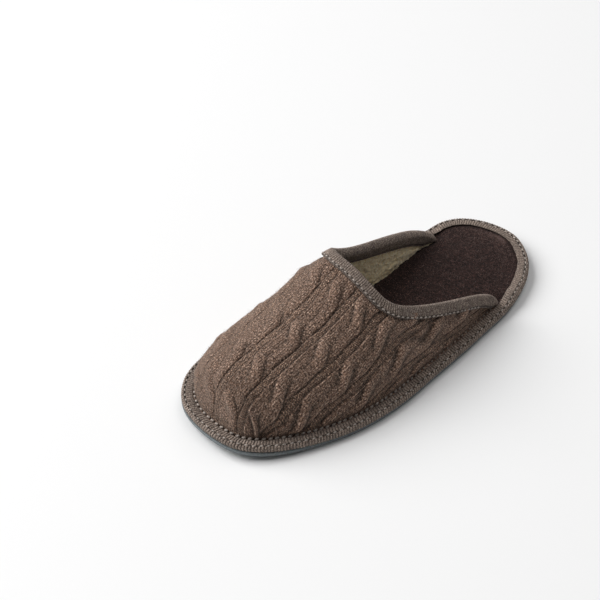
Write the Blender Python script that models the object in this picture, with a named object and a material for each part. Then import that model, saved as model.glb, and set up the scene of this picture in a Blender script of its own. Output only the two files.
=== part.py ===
"""A backless wool house slipper for the left foot, standing empty on its sole.

The toe points along -Y, the outer side of the foot is +X and the floor is z = 0.
The origin is the middle of the slipper's footprint. The pieces are the ones that are
stitched together: outsole, felt insole, sole tape, cable-knit upper and collar tape.
Every piece is lofted from the same two tables: the outline of the sole, and the arches
of the last over it.
"""

import bmesh
import bpy
import numpy as np

MM = 0.001

# The sizes of the last, in metres.
LENGTH = 270 * MM  # heel to toe, over the sole tape
BALL_WIDTH = 110 * MM  # across the ball of the foot: the outline's front is given in shares of it
HEEL_WIDTH = 84 * MM  # across the heel: the outline's rear is given in shares of it
INSTEP_HEIGHT = 67 * MM  # the ridge of the upper at the throat, above the floor
UPPER_SWELL = 1.5 * MM  # the upper's sides belly out past its seam by this
TOE_SPRING = 5 * MM  # lift of the toe end of the sole

# The sizes of the pieces, in metres.
OUTSOLE_THICKNESS = 3 * MM
OUTSOLE_SETBACK = 0.8 * MM  # the tape's roll stands out past the outsole by this
OUTSOLE_ROUND = 0.8 * MM  # rounding of the outsole's lower edge
FELT_THICKNESS = 4 * MM
FELT_RIM = 1.2 * MM  # the felt's rim where it is stitched down flat under the upper
FELT_SLOPE = 3.5 * MM  # it swells from that rim to its full thickness over this width
TAPE_THICKNESS = 1 * MM  # the knitted tape, on the sole's edge and on the collar
TAPE_ROLL = 1.8 * MM  # rounding where the tape folds over the sole's edge
HEEL_TAPE_WIDTH = 7.2 * MM  # how far the sole tape reaches in over the felt round the heel
FRONT_TAPE_WIDTH = 6.2 * MM  # how far it reaches in over the upper's flange
SOLE_TAPE_SINK = 14 * MM  # it comes down from the felt to the flange over this length
COLLAR_TAPE_WIDTH = 6.8 * MM  # from the fold down to the stitched edge
UPPER_WALL = 3 * MM  # cable knit and fleece together
FLANGE_THICKNESS = 0.9 * MM  # the upper's edge, pressed flat under the tape
SEAM_GAP = 0.3 * MM  # between pieces that touch

# Where the forms begin and end, as shares of the length from the heel.
SPRING_START = 0.72
WIDTH_BLEND = (0.25, 0.60)  # the heel's width gives way to the ball's between these
RIDGE_SOFTNESS = 0.25  # how broadly the ridge is rounded, as a share of the half width
THIN_TOE = 0.4  # below this share of the instep's height the wall's thickness lies level
SWELL_PEAK = 0.65  # the largest value of the curve that the swell follows up the arch
FOLD_ROUND = 0.7  # place of a fold's middle point between its face and its edge

# The sole's outline: half widths from the centre line, as shares of the local width.
OUTLINE = [
    # along, outer side, inner side
    (0.015, 0.160, 0.240),
    (0.060, 0.350, 0.425),
    (0.140, 0.500, 0.494),
    (0.250, 0.597, 0.492),
    (0.380, 0.597, 0.416),
    (0.520, 0.553, 0.380),
    (0.640, 0.557, 0.435),
    (0.740, 0.535, 0.463),
    (0.830, 0.475, 0.445),
    (0.910, 0.390, 0.382),
    (0.965, 0.292, 0.268),
    (0.992, 0.178, 0.138),
]
HEEL_END_SHIFT = -0.020  # the outline's rear end, across, as a share of the heel's width
TOE_END_SHIFT = 0.022  # its front end, as a share of the ball's width

# The arches of the last: height of the ridge above the sole's edge as a share of its
# height at the throat, place of the ridge between inner (0) and outer (1) side, and how
# full the arch's two shoulders are (2 is an ellipse, more is squarer).
ARCHES = [
    # along, height, ridge, outer fullness, inner fullness
    (0.150, 0.89, 0.40, 1.70, 2.35),
    (0.300, 0.96, 0.37, 1.70, 2.35),
    (0.450, 1.00, 0.33, 1.72, 2.30),
    (0.585, 0.99, 0.32, 1.86, 2.24),
    (0.680, 0.83, 0.39, 1.98, 2.15),
    (0.780, 0.73, 0.46, 2.15, 2.12),
    (0.860, 0.68, 0.49, 2.36, 2.20),
    (0.920, 0.63, 0.49, 2.50, 2.35),
    (0.965, 0.57, 0.49, 2.60, 2.50),
    (0.990, 0.42, 0.49, 2.60, 2.50),
    (1.000, 0.00, 0.50, 2.60, 2.50),
]

# The collar's edge, from the ridge (across 0) down to the sole (across 1) on each side.
COLLAR = [
    # across, along on the outer side, along on the inner side
    (0.00, 0.561, 0.561),
    (0.15, 0.562, 0.548),
    (0.30, 0.561, 0.518),
    (0.42, 0.557, 0.463),
    (0.52, 0.543, 0.392),
    (0.60, 0.507, 0.337),
    (0.68, 0.435, 0.286),
    (0.75, 0.363, 0.245),
    (0.82, 0.297, 0.208),
    (0.89, 0.249, 0.177),
    (0.94, 0.229, 0.160),
    (1.00, 0.213, 0.147),
]
COLLAR_TAPE_END = 0.955  # the collar tape stops here, just above the sole tape
LEG_SHARE = 0.7  # near its ends the tape's legs take this share of the height that is left

STATIONS = 96  # points around each loop of the sole
ARCH_STEPS = 44  # steps of the upper from its outer to its inner side
LENGTH_STEPS = 27  # steps of the upper from the collar to the toe
COLLAR_STEPS = 64  # steps of the collar tape along the edge
LEG_STEPS = 4  # steps of its legs, from the fold down

# Heights of the layers of the sole above the floor, before the toe spring.
FELT_BOTTOM = OUTSOLE_THICKNESS + SEAM_GAP
FELT_TOP = FELT_BOTTOM + FELT_THICKNESS
FELT_RIM_TOP = FELT_BOTTOM + FELT_RIM
FLANGE_BOTTOM = FELT_RIM_TOP + SEAM_GAP
FLANGE_TOP = FLANGE_BOTTOM + FLANGE_THICKNESS
HEEL_TAPE_TOP = FELT_TOP + SEAM_GAP + TAPE_THICKNESS
FRONT_TAPE_TOP = FLANGE_TOP + SEAM_GAP + TAPE_THICKNESS

# How far the layers lie inside the outline.
EDGE_INSET = TAPE_THICKNESS + SEAM_GAP
CREASE_INSET = FRONT_TAPE_WIDTH + TAPE_THICKNESS + 3 * SEAM_GAP
FELT_BENCH = CREASE_INSET + UPPER_WALL + SEAM_GAP


def smooth_step(x):
    """0 below 0, 1 above 1, and an S curve between."""
    x = np.clip(x, 0, 1)
    return x * x * (3 - 2 * x)


def spline(knots, values, at, period=None):
    """A smooth cubic through the values, with free ends or closed over a period."""
    k, v = np.asarray(knots, float), np.asarray(values, float)
    if period is not None:
        k, v = np.append(k, k[0] + period), np.append(v, v[0])
        at = k[0] + np.mod(np.asarray(at, float) - k[0], period)
    step = np.diff(k)
    rise = np.diff(v) / step
    count = len(k)
    matrix, right = np.zeros((count, count)), np.zeros(count)
    for i in range(1, count - 1):
        matrix[i, i - 1 : i + 2] = step[i], 2 * (step[i - 1] + step[i]), step[i - 1]
        right[i] = 3 * (step[i] * rise[i - 1] + step[i - 1] * rise[i])
    if period is None:
        matrix[0, :2] = 2, 1
        right[0] = 3 * rise[0]
        matrix[-1, -2:] = 1, 2
        right[-1] = 3 * rise[-1]
    else:
        matrix[0, 0], matrix[0, -1] = 1, -1
        matrix[-1, 0] = 2 * (step[0] + step[-1])
        matrix[-1, 1], matrix[-1, -2] = step[-1], step[0]
        right[-1] = 3 * (step[0] * rise[-1] + step[-1] * rise[0])
    slope = np.linalg.solve(matrix, right)
    i = np.clip(np.searchsorted(k, at, side="right") - 1, 0, count - 2)
    h = step[i]
    s = (at - k[i]) / h
    start, end = (1 + 2 * s) * (1 - s) ** 2, s * s * (3 - 2 * s)
    return start * v[i] + end * v[i + 1] + h * s * (1 - s) * ((1 - s) * slope[i] - s * slope[i + 1])


def turn_of(along):
    """The angle round the outline, 0 at the heel and pi at the toe, at a share of the length."""
    return np.arccos(1 - 2 * np.clip(along, 0, 1))


def along_of(turn):
    return (1 - np.cos(turn)) / 2


def local_width(along):
    blend = smooth_step((along - WIDTH_BLEND[0]) / (WIDTH_BLEND[1] - WIDTH_BLEND[0]))
    return HEEL_WIDTH + (BALL_WIDTH - HEEL_WIDTH) * blend


def raw_outline(turn):
    """Points of the sole's outline, not yet centred: its outer side has turn from 0 to pi."""
    rows = np.array(OUTLINE)
    turns = np.concatenate([[0], turn_of(rows[:, 0]), [np.pi], 2 * np.pi - turn_of(rows[::-1, 0])])
    shares = np.concatenate([[HEEL_END_SHIFT], rows[:, 1], [TOE_END_SHIFT], -rows[::-1, 2]])
    along = along_of(turn)
    x = spline(turns, shares, turn, period=2 * np.pi) * local_width(along)
    return np.stack([x, -along * LENGTH], axis=-1)


def footprint_centre():
    ring = raw_outline(np.linspace(0, 2 * np.pi, 720, endpoint=False))
    return (ring.min(0) + ring.max(0)) / 2


CENTRE = footprint_centre()


def edge(turn, inset):
    """Points a given distance inside the outline."""
    small = 1e-4
    ahead, behind = raw_outline(turn + small), raw_outline(turn - small)
    tangent = (ahead - behind) / np.linalg.norm(ahead - behind, axis=-1, keepdims=True)
    inward = np.stack([tangent[..., 1], -tangent[..., 0]], axis=-1)
    return raw_outline(turn) - CENTRE + inward * np.asarray(inset)[..., None]


def toe_lift(y):
    """How far the sole has risen from the floor at a place along it."""
    start = -CENTRE[1] - SPRING_START * LENGTH
    rise = np.clip((start - y) / ((1 - SPRING_START) * LENGTH), 0, None)
    return TOE_SPRING * rise**2


def lifted(points, height):
    """Plan points raised to a height above the sprung sole."""
    z = height + toe_lift(points[..., 1])
    return np.concatenate([points, np.broadcast_to(z, points.shape[:-1])[..., None]], axis=-1)


def last_point(along, across, depth):
    """A point of the last: across is 1 at the sole's outer edge, 0 on the ridge, -1 at its inner edge.

    Each arch is a quarter of a superellipse on each side of the ridge, in polar form. The
    pace lets the lines cross the ridge evenly where one side is wider than the other. depth
    moves the whole form inwards, from the upper's outside at 0 to its inside at UPPER_WALL.
    """
    places = (np.asarray(place, float) for place in (along, across, depth))
    along, across, depth = np.broadcast_arrays(*places)
    rows = np.array(ARCHES)
    turn, knots = turn_of(along), turn_of(rows[:, 0])
    height, ridge_place, outer_full, inner_full = (spline(knots, row, turn) for row in rows[:, 1:].T)
    side, size = across >= 0, np.abs(across)
    pace = 0.5 / np.where(side, 1 - ridge_place, ridge_place)
    rise = (1 - size * (pace + (1 - pace) * size)) * np.pi / 2
    out, up = np.cos(rise), np.sin(rise)
    thick = smooth_step(height / THIN_TOE)
    swell = UPPER_SWELL * thick * 2 * up * out**3 / SWELL_PEAK
    inset = CREASE_INSET + depth
    outer, inner = edge(turn, inset), edge(2 * np.pi - turn, inset)
    ridge = inner + (outer - inner) * ridge_place[..., None]
    outer, inner = edge(turn, inset - swell), edge(2 * np.pi - turn, inset - swell)
    foot = np.where(side[..., None], outer, inner)
    soft, fullness = RIDGE_SOFTNESS, np.where(side, outer_full, inner_full)
    rounded = (out**2 + soft**2) ** (fullness / 2) - soft**fullness
    rounded /= (1 + soft**2) ** (fullness / 2) - soft**fullness
    reach = (rounded + np.abs(up) ** fullness) ** (-1 / fullness)
    base = FLANGE_TOP + (FLANGE_BOTTOM - FLANGE_TOP) * np.clip(depth / UPPER_WALL, 0, 1)
    ridge_height = (INSTEP_HEIGHT - base) * height - depth * thick
    plan = ridge + (foot - ridge) * (reach * out)[..., None]
    return lifted(plan, base + ridge_height * reach * up)


def collar_along(across):
    """Where the collar's edge is, along the slipper, on each line of the last."""
    rows = np.array(COLLAR)
    knots = np.concatenate([-rows[:0:-1, 0], rows[:, 0]])
    values = np.concatenate([rows[:0:-1, 2], rows[:, 1]])
    return spline(knots, values, across)


def make_object(name, points, faces, finish):
    """One closed, outward-facing mesh object from points and faces, with shared points merged."""
    mesh = bpy.data.meshes.new(name)
    mesh.from_pydata([tuple(p) for p in points], [], [tuple(int(i) for i in f) for f in faces])
    shell = bmesh.new()
    shell.from_mesh(mesh)
    bmesh.ops.remove_doubles(shell, verts=shell.verts, dist=2e-6)
    bmesh.ops.dissolve_degenerate(shell, edges=shell.edges, dist=1e-6)
    bmesh.ops.triangulate(shell, faces=shell.faces)
    bmesh.ops.recalc_face_normals(shell, faces=shell.faces)
    shell.to_mesh(mesh)
    shell.free()
    mesh.shade_smooth()
    mesh.set_sharp_from_angle(angle=np.radians(35))
    mesh.materials.append(finish)
    made = bpy.data.objects.new(name, mesh)
    bpy.context.scene.collection.objects.link(made)
    return made


def grid_faces(rows, columns, first=0, close_rows=False, close_columns=False):
    """Quads over a grid of points stored row by row, closed round on itself where asked."""
    faces = []
    for r in range(rows if close_rows else rows - 1):
        for c in range(columns if close_columns else columns - 1):
            here, below, right = r * columns, (r + 1) % rows * columns, (c + 1) % columns
            faces.append([first + i for i in (here + c, here + right, below + right, below + c)])
    return faces


def cap_faces(count, first):
    """Strips across a loop of the sole from its outer to its inner side, heel to toe."""
    half = count // 2
    faces = [[0, 1, count - 1], [half - 1, half, half + 1]]
    faces += [[i, i + 1, count - i - 1, count - i] for i in range(1, half - 1)]
    return [[first + i for i in face] for face in faces]


def sole_turns():
    return np.arange(STATIONS) * 2 * np.pi / STATIONS


def make_plate(name, profile, finish):
    """A layer of the sole. profile lists (inset, height) up its side, from its underside to its top."""
    loops = [lifted(edge(sole_turns(), inset), height) for inset, height in profile]
    faces = grid_faces(len(loops), STATIONS, close_columns=True)
    faces += cap_faces(STATIONS, 0) + cap_faces(STATIONS, (len(loops) - 1) * STATIONS)
    return make_object(name, np.concatenate(loops), faces, finish)


def front_share(turn):
    """0 where the sole tape lies on the felt round the heel, 1 where it lies on the upper's flange."""
    end = np.where(turn <= np.pi, COLLAR[-1][1], COLLAR[-1][2])
    ramp = SOLE_TAPE_SINK / LENGTH
    return smooth_step((along_of(turn) - end + ramp) / ramp)


def make_outsole(finish):
    profile = [
        (OUTSOLE_SETBACK + OUTSOLE_ROUND, 0),
        (OUTSOLE_SETBACK, OUTSOLE_ROUND),
        (OUTSOLE_SETBACK, OUTSOLE_THICKNESS),
    ]
    return make_plate("outsole", profile, finish)


def make_insole(finish):
    """Felt of full thickness round the heel, its rim stitched flat where the upper lies on it."""
    rim = FELT_TOP + (FELT_RIM_TOP - FELT_TOP) * front_share(sole_turns())
    profile = [
        (EDGE_INSET, FELT_BOTTOM),
        (EDGE_INSET, rim),
        (FELT_BENCH, rim),
        (FELT_BENCH + FELT_SLOPE, FELT_TOP),
    ]
    return make_plate("insole", profile, finish)


def make_folded(name, loops, closed, finish):
    """A folded tape lofted through loops: half of them round its outside, the rest back inside."""
    count, stations = len(loops), len(loops[0])
    faces = grid_faces(count, stations, close_rows=True, close_columns=closed)
    if not closed:
        for end in (0, stations - 1):
            ring = [i * stations + end for i in range(count)]
            faces += [[ring[i], ring[i + 1], ring[-2 - i], ring[-1 - i]] for i in range(count // 2 - 1)]
    return make_object(name, np.concatenate(loops), faces, finish)


def make_sole_tape(finish):
    """The knitted tape folded over the edge of the sole, from the outsole up and in over the rim."""
    turns = sole_turns()
    front = front_share(turns)
    top = HEEL_TAPE_TOP + (FRONT_TAPE_TOP - HEEL_TAPE_TOP) * front
    width = HEEL_TAPE_WIDTH + (FRONT_TAPE_WIDTH - HEEL_TAPE_WIDTH) * front
    low = np.full(STATIONS, FELT_BOTTOM)
    thick, roll, near = TAPE_THICKNESS, TAPE_ROLL, TAPE_ROLL * (1 - FOLD_ROUND)
    outer = [
        (near, low),
        (0, low + near),
        (0, top - roll),
        (near, top - near),
        (roll, top),
        (width, top),
    ]
    inner = [
        (thick, low),
        (thick, low + near),
        (thick, top - roll),
        (thick, top - thick),
        (roll, top - thick),
        (width, top - thick),
    ]
    loops = [lifted(edge(turns, inset), height) for inset, height in outer + inner[::-1]]
    return make_folded("sole_binding", loops, True, finish)


def upper_sheet(depth):
    """A grid of the last at a depth: rows from outer to inner side, columns from collar to toe."""
    across = np.linspace(1, -1, ARCH_STEPS + 1)
    start = turn_of(collar_along(across))[:, None]
    turn = start + (np.pi - start) * np.linspace(0, 1, LENGTH_STEPS + 1)
    return last_point(along_of(turn), across[:, None], depth)


def flange_rim(side, height):
    """The flange's outer edge along one side of the foot, from the collar's end to the toe."""
    start = turn_of(collar_along(side))
    turn = start + (np.pi - start) * np.linspace(0, 1, LENGTH_STEPS + 1)
    return lifted(edge(turn if side > 0 else 2 * np.pi - turn, EDGE_INSET), height)


def make_upper(finish):
    """The hollow upper: outside, inside, collar edge, and the flange pressed flat under the tape."""
    rows, columns = ARCH_STEPS + 1, LENGTH_STEPS + 1
    sheet = rows * columns
    points = [upper_sheet(0).reshape(-1, 3), upper_sheet(UPPER_WALL).reshape(-1, 3)]
    faces = grid_faces(rows, columns) + grid_faces(rows, columns, first=sheet)
    faces += [[r, r + columns, r + columns + sheet, r + sheet] for r in range(0, sheet - columns, columns)]
    count = 2 * sheet
    for side, line in ((1, 0), (-1, sheet - columns)):
        points += [flange_rim(side, FLANGE_TOP), flange_rim(side, FLANGE_BOTTOM)]
        top, bottom, inside = count, count + columns, line + sheet
        for a, b in ((line, top), (top, bottom), (bottom, inside)):
            faces += [[a + c, a + c + 1, b + c + 1, b + c] for c in range(columns - 1)]
        faces.append([line, top, bottom, inside])
        count += 2 * columns
    return make_object("upper", np.concatenate(points), faces, finish)


def unit(vectors):
    return vectors / np.linalg.norm(vectors, axis=-1, keepdims=True)


def step_down(along, across, distance):
    """Moves a line on the last square to itself, over the surface and away from the opening.

    The two slopes of the surface give its normal. The line's own direction crossed with the
    normal is the way down, and it is shared out between along and across by least squares.
    """
    small = 1e-4
    here = last_point(along, across, 0)
    by_along = (last_point(along + small, across, 0) - here) / small
    by_across = (last_point(along, across + small, 0) - here) / small
    down = np.cross(unit(np.cross(by_along, by_across)), unit(np.gradient(here, axis=0)))
    aa, cc = np.sum(by_along**2, axis=1), np.sum(by_across**2, axis=1)
    ac = np.sum(by_along * by_across, axis=1)
    wa, wc = np.sum(by_along * down, axis=1), np.sum(by_across * down, axis=1)
    scale = distance / (aa * cc - ac * ac)
    return along + scale * (cc * wa - ac * wc), across + scale * (aa * wc - ac * wa)


def make_collar_tape(finish):
    """The knitted tape folded over the collar's edge, with the upper's wall between its two legs."""
    across = np.linspace(COLLAR_TAPE_END, -COLLAR_TAPE_END, COLLAR_STEPS + 1)
    line = collar_along(across), across
    foot = last_point(line[0], np.where(across >= 0, 1, -1), 0)
    leg = np.minimum(COLLAR_TAPE_WIDTH, LEG_SHARE * (last_point(*line, 0) - foot)[:, 2])
    levels = [line]
    for _ in range(LEG_STEPS):
        levels.append(step_down(*levels[-1], leg / LEG_STEPS))
    fold = -SEAM_GAP - TAPE_THICKNESS
    outside, inside = fold, UPPER_WALL - fold
    middle, half = UPPER_WALL / 2, (inside - outside) / 2
    near, far = -SEAM_GAP, UPPER_WALL + SEAM_GAP
    legs = [levels[i] for i in range(LEG_STEPS, 0, -2)]
    side, shoulder, top = line, step_down(*line, fold * FOLD_ROUND), step_down(*line, fold)
    under = step_down(*line, -SEAM_GAP)
    outer = [(outside, place) for place in legs]
    outer += [(outside, side), (middle - half * FOLD_ROUND, shoulder), (middle, top)]
    outer += [(middle + half * FOLD_ROUND, shoulder), (inside, side)]
    outer += [(inside, place) for place in legs[::-1]]
    inner = [(near, place) for place in legs]
    inner += [(near, side), (near, under), (middle, under), (far, under), (far, side)]
    inner += [(far, place) for place in legs[::-1]]
    loops = [last_point(*place, depth) for depth, place in outer + inner[::-1]]
    return make_folded("collar_binding", loops, False, finish)


def make_finish(name, colour, roughness):
    finish = bpy.data.materials.new(name)
    finish.use_nodes = True
    shader = finish.node_tree.nodes["Principled BSDF"]
    shader.inputs["Base Color"].default_value = (*colour, 1)
    shader.inputs["Roughness"].default_value = roughness
    shader.inputs["Metallic"].default_value = 0
    finish.diffuse_color = (*colour, 1)
    return finish


def clear_scene():
    for old in list(bpy.data.objects):
        bpy.data.objects.remove(old, do_unlink=True)


def main():
    clear_scene()
    tape = make_finish("taupe_tape", (0.13, 0.10, 0.085), 0.95)
    make_outsole(make_finish("dark_rubber", (0.03, 0.035, 0.036), 0.7))
    make_insole(make_finish("aubergine_felt", (0.035, 0.02, 0.019), 1.0))
    make_sole_tape(tape)
    make_upper(make_finish("brown_knit", (0.12, 0.085, 0.065), 0.95))
    make_collar_tape(tape)


main()
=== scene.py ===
import bpy
import bmesh
import numpy as np
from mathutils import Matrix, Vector


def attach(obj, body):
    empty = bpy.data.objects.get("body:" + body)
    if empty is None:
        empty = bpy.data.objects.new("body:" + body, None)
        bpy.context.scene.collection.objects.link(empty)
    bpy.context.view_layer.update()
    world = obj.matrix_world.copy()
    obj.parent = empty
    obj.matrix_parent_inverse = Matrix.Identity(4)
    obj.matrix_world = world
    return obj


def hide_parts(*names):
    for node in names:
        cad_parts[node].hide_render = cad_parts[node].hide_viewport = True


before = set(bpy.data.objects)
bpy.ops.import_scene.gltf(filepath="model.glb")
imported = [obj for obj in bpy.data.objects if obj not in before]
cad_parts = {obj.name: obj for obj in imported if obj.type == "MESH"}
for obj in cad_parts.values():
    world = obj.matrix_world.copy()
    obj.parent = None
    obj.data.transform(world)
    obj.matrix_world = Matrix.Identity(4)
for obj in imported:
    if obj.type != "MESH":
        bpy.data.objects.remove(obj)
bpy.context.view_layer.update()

MM = 0.001


# ---- The view: from the toe's outer side, 41 degrees above the floor, with a long lens. The
# slipper fills the right two thirds of the picture, its toe to the lower left.
eye, aim = Vector((0.5119, -0.5351, 0.6739)), Vector((-0.0571, -0.0090, 0.0002))
lens = bpy.data.cameras.new("view")
lens.lens = 96
lens.sensor_width = 36


def add_object(name, data, place=(0, 0, 0), target=None):
    """An object of the scene, set at a place and turned to face the target if there is one."""
    made = bpy.data.objects.new(name, data)
    made.location = place
    if target is not None:
        made.rotation_euler = (Vector(target) - Vector(place)).to_track_quat("-Z", "Y").to_euler()
    bpy.context.scene.collection.objects.link(made)
    return made


bpy.context.scene.camera = add_object("view", lens, eye, aim)


# ---- Outsole: a thin sheet of dark rubber cut to the outline of the last, glued under the
# felt. Its underside is moulded in small waffle squares, and its toe end is sprung.
LENGTH = 270 * MM
BALL_WIDTH = 110 * MM
HEEL_WIDTH = 84 * MM
TOE_SPRING = 5 * MM
SPRING_START = 0.72  # share of the length where the toe begins to lift
WIDTH_BLEND = (0.25, 0.35)  # the heel's width gives way to the ball's: start, and over how much
HEEL_END_SHIFT = -0.020  # the outline's rear end, across, as a share of the local width
TOE_END_SHIFT = 0.022
OUTLINE = [
    # along, outer side, inner side: half widths as shares of the local width
    (0.015, 0.160, 0.240),
    (0.060, 0.350, 0.425),
    (0.140, 0.500, 0.494),
    (0.250, 0.597, 0.492),
    (0.380, 0.597, 0.416),
    (0.520, 0.553, 0.380),
    (0.640, 0.557, 0.435),
    (0.740, 0.535, 0.463),
    (0.830, 0.475, 0.445),
    (0.910, 0.390, 0.382),
    (0.965, 0.292, 0.268),
    (0.992, 0.178, 0.138),
]
RUBBER_SIDE = [
    # inset, height, both in mm, from the floor up
    (1.9, 0.0),
    (1.3, 0.1),
    (0.95, 0.4),
    (0.8, 1.0),
    (0.8, 2.95),
]
WAFFLE = 4.5 * MM
WAFFLE_DEPTH = 0.5 * MM
TOE_LEDGE = 1.0 * MM  # the rubber stands out further by this at the toe
STATIONS, STEPS = 300, 110  # cross-sections, and points over each


def smooth_step(x):
    """0 below 0, 1 above 1, and an S curve between."""
    x = np.clip(x, 0, 1)
    return x * x * (3 - 2 * x)


def spline(knots, values, at, period=None):
    """A smooth cubic through the values: its slopes solve one linear system, whose end rows leave the
    ends free, or join them where the curve is periodic."""
    k, v = np.asarray(knots, float), np.asarray(values, float)
    if period is not None:
        k, v = np.append(k, k[0] + period), np.append(v, v[0])
        at = k[0] + np.mod(np.asarray(at, float) - k[0], period)
    step = np.diff(k)
    rise = np.diff(v) / step
    count = len(k)
    matrix, right = np.zeros((count, count)), np.zeros(count)
    for i in range(1, count - 1):
        matrix[i, i - 1 : i + 2] = step[i], 2 * (step[i - 1] + step[i]), step[i - 1]
        right[i] = 3 * (step[i] * rise[i - 1] + step[i - 1] * rise[i])
    if period is None:
        matrix[0, :2] = 2, 1
        right[0] = 3 * rise[0]
        matrix[-1, -2:] = 1, 2
        right[-1] = 3 * rise[-1]
    else:
        matrix[0, 0], matrix[0, -1] = 1, -1
        matrix[-1, 0] = 2 * (step[0] + step[-1])
        matrix[-1, 1], matrix[-1, -2] = step[-1], step[0]
        right[-1] = 3 * (step[0] * rise[-1] + step[-1] * rise[0])
    slope = np.linalg.solve(matrix, right)
    i = np.clip(np.searchsorted(k, at, side="right") - 1, 0, count - 2)
    h = step[i]
    s = (at - k[i]) / h
    start, end = (1 + 2 * s) * (1 - s) ** 2, s * s * (3 - 2 * s)
    return start * v[i] + end * v[i + 1] + h * s * (1 - s) * ((1 - s) * slope[i] - s * slope[i + 1])


def turn_of(along):
    """The angle round the outline, 0 at the heel and pi at the toe: the cosine runs with the length."""
    return np.arccos(1 - 2 * np.clip(along, 0, 1))


def along_of(turn):
    """The share of the length at an angle round the outline."""
    return (1 - np.cos(turn)) / 2


def raw_outline(turn):
    """The outline: a periodic spline of half widths, scaled by a width that goes from heel to ball."""
    rows = np.array(OUTLINE)
    turns = np.concatenate([[0], turn_of(rows[:, 0]), [np.pi], 2 * np.pi - turn_of(rows[::-1, 0])])
    shares = np.concatenate([[HEEL_END_SHIFT], rows[:, 1], [TOE_END_SHIFT], -rows[::-1, 2]])
    along = along_of(turn)
    blend = smooth_step((along - WIDTH_BLEND[0]) / WIDTH_BLEND[1])
    width = HEEL_WIDTH + (BALL_WIDTH - HEEL_WIDTH) * blend
    across = spline(turns, shares, turn, period=2 * np.pi) * width
    return np.stack([across, -along * LENGTH], axis=-1)


ring = raw_outline(np.linspace(0, 2 * np.pi, 720, endpoint=False))
CENTRE = (ring.min(0) + ring.max(0)) / 2


def unit(vectors):
    """Vectors divided by their own length."""
    return vectors / np.maximum(np.linalg.norm(vectors, axis=-1, keepdims=True), 1e-12)


def edge(turn, inset):
    """The outline moved square to itself, inwards by the inset."""
    small = 1e-4
    tangent = unit(raw_outline(turn + small) - raw_outline(turn - small))
    inward = np.stack([tangent[..., 1], -tangent[..., 0]], axis=-1)
    return raw_outline(turn) - CENTRE + inward * np.asarray(inset)[..., None]


def toe_lift(y):
    """A parabola from the ball of the foot to the toe."""
    start = -CENTRE[1] - SPRING_START * LENGTH
    return TOE_SPRING * np.clip((start - y) / ((1 - SPRING_START) * LENGTH), 0, None) ** 2


def lifted(points, height):
    """Plan points raised to a height above the sprung sole."""
    z = height + toe_lift(points[..., 1])
    return np.concatenate([points, np.broadcast_to(z, points.shape[:-1])[..., None]], axis=-1)


def grid_quads(rows, columns, wrap_rows, wrap_columns):
    """Corner indices of the quads between neighbouring points of a grid, wrapped where it closes."""
    r = np.arange(rows if wrap_rows else rows - 1)[:, None]
    c = np.arange(columns if wrap_columns else columns - 1)[None, :]
    below, right = (r + 1) % rows, (c + 1) % columns
    corners = [r * columns + c, r * columns + right, below * columns + right, below * columns + c]
    return np.stack([np.broadcast_to(k, (len(r), c.shape[1])) for k in corners], axis=-1).reshape(-1, 4)


def mesh_piece(name, points, quads, finish, uv=None, marks=(), merge=0.0):
    """Points and four-cornered faces put into a mesh as whole arrays, with one UV for each point. Of the
    marks, "shade" is 0 in a cloth's hollows, 0.5 on level ground and 1 on its tops, and sets a painted
    shade in the hollows and a painted highlight on the tops; "ground" is 1 between the cables. Points
    closer than merge are made one, which closes poles and seams."""
    mesh = bpy.data.meshes.new(name)
    mesh.vertices.add(points.size // 3)
    mesh.vertices.foreach_set("co", points.astype(np.float32).ravel())
    mesh.loops.add(quads.size)
    mesh.loops.foreach_set("vertex_index", quads.astype(np.int32).ravel())
    mesh.polygons.add(quads.size // 4)
    mesh.polygons.foreach_set("loop_start", np.arange(0, quads.size, 4, dtype=np.int32))
    mesh.update(calc_edges=True)
    if uv is not None:
        layer = mesh.uv_layers.new(name="fabric")
        layer.data.foreach_set("uv", uv.reshape(-1, 2)[quads.ravel()].astype(np.float32).ravel())
    for key, mark in dict(marks).items():
        layer = mesh.attributes.new(key, "FLOAT", "POINT")
        layer.data.foreach_set("value", mark.astype(np.float32).ravel())
    if merge:
        shell = bmesh.new()
        shell.from_mesh(mesh)
        bmesh.ops.remove_doubles(shell, verts=shell.verts, dist=merge)
        shell.to_mesh(mesh)
        shell.free()
    mesh.validate()
    mesh.shade_smooth()
    mesh.materials.append(finish)
    piece = add_object(name, mesh)
    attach(piece, "root")
    return piece


def make_piece(name, grid, finish, uv=None, marks=(), wrap=(False, False), flip=False, merge=0.0):
    """One mesh object from a grid of points. wrap closes the grid over its rows or its columns, and flip
    turns its faces round, so that they point outwards."""
    quads = grid_quads(*grid.shape[:2], *wrap)
    if flip:
        quads = quads[:, ::-1]
    return mesh_piece(name, grid, quads, finish, uv, marks, merge)


def waffle(points):
    """Grooves along two families of diagonal lines: each is a narrow dip where its sine passes zero."""
    a = (points[..., 0] + points[..., 1]) / WAFFLE
    b = (points[..., 0] - points[..., 1]) / WAFFLE
    line = np.minimum(np.abs(np.sin(np.pi * a)), np.abs(np.sin(np.pi * b)))
    return WAFFLE_DEPTH * (1 - smooth_step(line / 0.45))


def closed_loops(outer, inner, steps):
    """Straight steps from the outer side's top to the inner side's top, and back from bottom to bottom."""
    share = np.linspace(0, 1, steps)[None, 1:-1, None]
    over = outer[:, -1:] + (inner[:, -1:] - outer[:, -1:]) * share
    under = inner[:, :1] + (outer[:, :1] - inner[:, :1]) * share
    return over, under, share


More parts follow.
